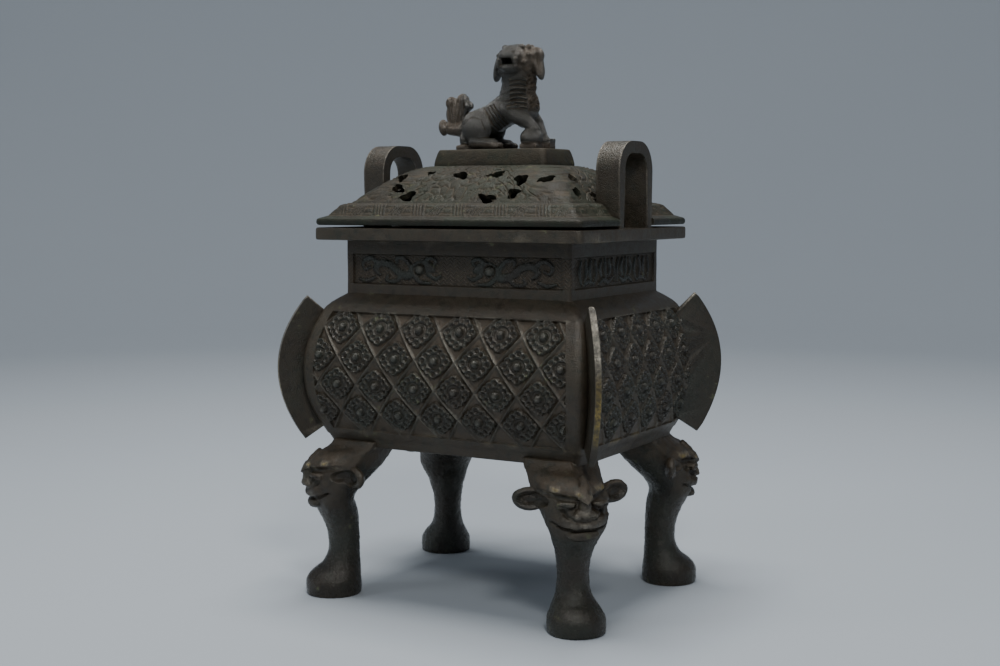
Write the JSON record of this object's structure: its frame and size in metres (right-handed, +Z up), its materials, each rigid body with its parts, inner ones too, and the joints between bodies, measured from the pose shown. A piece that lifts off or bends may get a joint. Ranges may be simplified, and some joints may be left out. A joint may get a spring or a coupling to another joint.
{
  "type": "lidded bronze incense burner",
  "caption": "Rectangular footed bronze censer with loop handles, corner blades, quatrefoil diaper, mask legs and a pierced lid topped by a lion",
  "frame": {"origin": "On the ground plane under the middle of the vessel", "axes": "+Z up, +X along the long side towards the right handle, -Y is the front that the lion's face looks out of"},
  "size_m": [0.1964, 0.1578, 0.301],
  "materials": {
    "dark_bronze": "patinated cast bronze, near black with brown earth in the recesses and green spots",
    "lid_bronze": "patinated cast bronze, brown earth on the dome and green at the flange edge",
    "lion_bronze": "handled brown bronze, more polished on the raised parts"
  },
  "bodies": {
    "root": {"belly": "dark_bronze", "neck": "dark_bronze", "handle_right": "dark_bronze", "handle_left": "dark_bronze", "leg_front_right": "dark_bronze", "leg_back_right": "dark_bronze", "leg_back_left": "dark_bronze", "leg_front_left": "dark_bronze", "lid": "lid_bronze", "lion_knop": "lion_bronze"}
  },
  "joints": []
}
